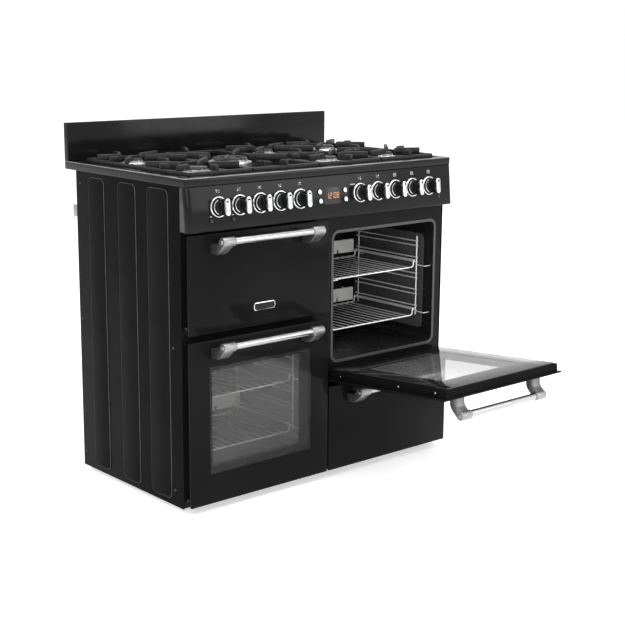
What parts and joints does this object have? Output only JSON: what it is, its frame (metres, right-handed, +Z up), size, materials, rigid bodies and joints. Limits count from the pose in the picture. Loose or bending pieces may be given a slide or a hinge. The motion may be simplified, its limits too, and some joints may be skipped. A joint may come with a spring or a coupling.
{
  "type": "range cooker with double oven",
  "caption": "Free-standing range cooker with a gas hob, splashback, grill, double oven with drop-down doors, storage drawer, turning knobs and bar handles.",
  "frame": {"origin": "on the floor below the middle of the whole outline, with the right oven door open as it is at rest", "axes": "+X to the right seen from the front, +Y to the back, +Z up"},
  "size_m": [1, 1.0716, 1.0335],
  "materials": {
    "black_paint": "satin",
    "zinc_steel": "satin",
    "black_plastic": "matte",
    "black_enamel": "gloss",
    "clock_window": "gloss",
    "pipe_aluminium": "satin",
    "white_plastic": "matte",
    "burner_aluminium": "satin",
    "cap_enamel": "satin",
    "cast_iron": "matte",
    "black_glass": "gloss",
    "handle_metal": "satin",
    "clear_glass": "gloss",
    "drawer_enamel": "gloss",
    "oven_enamel": "gloss",
    "seal_rubber": "matte",
    "motor_metal": "satin",
    "wire_chrome": "gloss",
    "lamp_glass": "gloss",
    "black_knob": "gloss",
    "chrome": "gloss"
  },
  "bodies": {
    "cooker": {"side_panel_left": "black_paint", "side_panel_right": "black_paint", "rear_panel": "zinc_steel", "base_frame": "zinc_steel", "levelling_feet": "black_plastic", "front_frame": "black_paint", "hob_top": "black_enamel", "splashback": "black_paint", "control_panel": "black_enamel", "panel_lenses": "clock_window", "knob_bezels": "chrome", "gas_rail": "pipe_aluminium", "switch_gear": "white_plastic", "terminal_box": "black_plastic", "burner_crowns": "burner_aluminium", "burner_caps": "cap_enamel", "pan_supports": "cast_iron", "grill_cavity": "oven_enamel", "left_oven_cavity": "oven_enamel", "right_oven_cavity": "oven_enamel", "door_seals": "seal_rubber", "fan_cover": "oven_enamel", "fan_motor": "motor_metal", "rack_sides": "wire_chrome", "left_shelves": "wire_chrome", "lamp_covers": "lamp_glass", "grill_pan": "oven_enamel"},
    "grill_door": {"grill_door_panel": "black_glass", "grill_door_frame": "black_paint", "grill_door_handle": "handle_metal"},
    "left_door": {"left_door_panel": "black_glass", "left_door_frame": "black_paint", "left_door_glass": "clear_glass", "left_door_handle": "handle_metal"},
    "right_door": {"right_door_panel": "black_glass", "right_door_frame": "black_paint", "right_door_glass": "clear_glass", "right_door_handle": "handle_metal"},
    "drawer": {"drawer_front": "drawer_enamel", "drawer_box": "zinc_steel", "drawer_handle": "handle_metal"},
    "fan": {"oven_fan": "zinc_steel"},
    "shelf_upper": {"upper_shelf": "wire_chrome"},
    "shelf_lower": {"lower_shelf": "wire_chrome"},
    "control_knob_1": {"knob_1": "black_knob"},
    "control_knob_2": {"knob_2": "black_knob"},
    "control_knob_3": {"knob_3": "black_knob"},
    "control_knob_4": {"knob_4": "black_knob"},
    "control_knob_5": {"knob_5": "black_knob"},
    "control_knob_6": {"knob_6": "black_knob"},
    "control_knob_7": {"knob_7": "black_knob"},
    "control_knob_8": {"knob_8": "black_knob"},
    "control_knob_9": {"knob_9": "black_knob"},
    "control_knob_10": {"knob_10": "black_knob"},
    "clock_key_1": {"clock_button_1": "chrome"},
    "clock_key_2": {"clock_button_2": "chrome"},
    "clock_key_3": {"clock_button_3": "chrome"},
    "clock_key_4": {"clock_button_4": "chrome"},
    "ignition_key": {"ignition_button": "black_plastic"},
    "lamp_key": {"lamp_button": "black_plastic"}
  },
  "joints": [
    {"name": "grill_door_hinge", "type": "hinge", "parent": "cooker", "child": "grill_door", "pos_m": [-0.25025, -0.06267, 0.522], "axis": [-1, 0, 0], "range_deg": [-85.15, 0], "stiffness_Nm_per_rad": 2, "springref_deg": 17.19},
    {"name": "left_door_hinge", "type": "hinge", "parent": "cooker", "child": "left_door", "pos_m": [-0.25025, -0.06267, 0.0405], "axis": [-1, 0, 0], "range_deg": [-85.15, 0], "stiffness_Nm_per_rad": 6, "springref_deg": 14.32},
    {"name": "right_door_hinge", "type": "hinge", "parent": "cooker", "child": "right_door", "pos_m": [0.25025, -0.06267, 0.3045], "axis": [-1, 0, 0], "range_deg": [0, 85.15], "stiffness_Nm_per_rad": 6, "springref_deg": 99.47},
    {"name": "drawer_slide", "type": "slide", "parent": "cooker", "child": "drawer", "axis": [0, 1, 0], "range_m": [-0.33, 0]},
    {"name": "upper_shelf_slide", "type": "slide", "parent": "cooker", "child": "shelf_upper", "axis": [0, 1, 0], "range_m": [-0.24, 0]},
    {"name": "lower_shelf_slide", "type": "slide", "parent": "cooker", "child": "shelf_lower", "axis": [0, 1, 0], "range_m": [-0.24, 0]},
    {"name": "fan_spin", "type": "hinge", "parent": "cooker", "child": "fan", "pos_m": [0.2335, 0.32882, 0.5375], "axis": [0, 1, 0], "continuous": true},
    {"name": "knob_1_turn", "type": "hinge", "parent": "cooker", "child": "control_knob_1", "pos_m": [-0.398, -0.07297, 0.843], "axis": [0, -0.9956, 0.0933], "range_deg": [0, 210]},
    {"name": "knob_2_turn", "type": "hinge", "parent": "cooker", "child": "control_knob_2", "pos_m": [-0.327, -0.07297, 0.843], "axis": [0, -0.9956, 0.0933], "range_deg": [0, 210]},
    {"name": "knob_3_turn", "type": "hinge", "parent": "cooker", "child": "control_knob_3", "pos_m": [-0.256, -0.07297, 0.843], "axis": [0, -0.9956, 0.0933], "range_deg": [0, 210]},
    {"name": "knob_4_turn", "type": "hinge", "parent": "cooker", "child": "control_knob_4", "pos_m": [-0.185, -0.07297, 0.843], "axis": [0, -0.9956, 0.0933], "range_deg": [0, 210]},
    {"name": "knob_5_turn", "type": "hinge", "parent": "cooker", "child": "control_knob_5", "pos_m": [-0.114, -0.07297, 0.843], "axis": [0, -0.9956, 0.0933], "range_deg": [0, 210]},
    {"name": "knob_6_turn", "type": "hinge", "parent": "cooker", "child": "control_knob_6", "pos_m": [0.114, -0.07297, 0.843], "axis": [0, -0.9956, 0.0933], "range_deg": [0, 210]},
    {"name": "knob_7_turn", "type": "hinge", "parent": "cooker", "child": "control_knob_7", "pos_m": [0.185, -0.07297, 0.843], "axis": [0, -0.9956, 0.0933], "range_deg": [0, 210]},
    {"name": "knob_8_turn", "type": "hinge", "parent": "cooker", "child": "control_knob_8", "pos_m": [0.256, -0.07297, 0.843], "axis": [0, -0.9956, 0.0933], "range_deg": [-270, 0]},
    {"name": "knob_9_turn", "type": "hinge", "parent": "cooker", "child": "control_knob_9", "pos_m": [0.327, -0.07297, 0.843], "axis": [0, -0.9956, 0.0933], "range_deg": [-270, 0]},
    {"name": "knob_10_turn", "type": "hinge", "parent": "cooker", "child": "control_knob_10", "pos_m": [0.398, -0.07297, 0.843], "axis": [0, -0.9956, 0.0933], "range_deg": [-270, 0]},
    {"name": "clock_button_1_press", "type": "slide", "parent": "cooker", "child": "clock_key_1", "axis": [0, 0.9956, -0.0933], "range_m": [0, 0.002], "stiffness_N_per_m": 200},
    {"name": "clock_button_2_press", "type": "slide", "parent": "cooker", "child": "clock_key_2", "axis": [0, 0.9956, -0.0933], "range_m": [0, 0.002], "stiffness_N_per_m": 200},
    {"name": "clock_button_3_press", "type": "slide", "parent": "cooker", "child": "clock_key_3", "axis": [0, 0.9956, -0.0933], "range_m": [0, 0.002], "stiffness_N_per_m": 200},
    {"name": "clock_button_4_press", "type": "slide", "parent": "cooker", "child": "clock_key_4", "axis": [0, 0.9956, -0.0933], "range_m": [0, 0.002], "stiffness_N_per_m": 200},
    {"name": "ignition_press", "type": "slide", "parent": "cooker", "child": "ignition_key", "axis": [0, 0.9956, -0.0933], "range_m": [0, 0.002], "stiffness_N_per_m": 200},
    {"name": "lamp_press", "type": "slide", "parent": "cooker", "child": "lamp_key", "axis": [0, 0.9956, -0.0933], "range_m": [0, 0.002], "stiffness_N_per_m": 200}
  ]
}
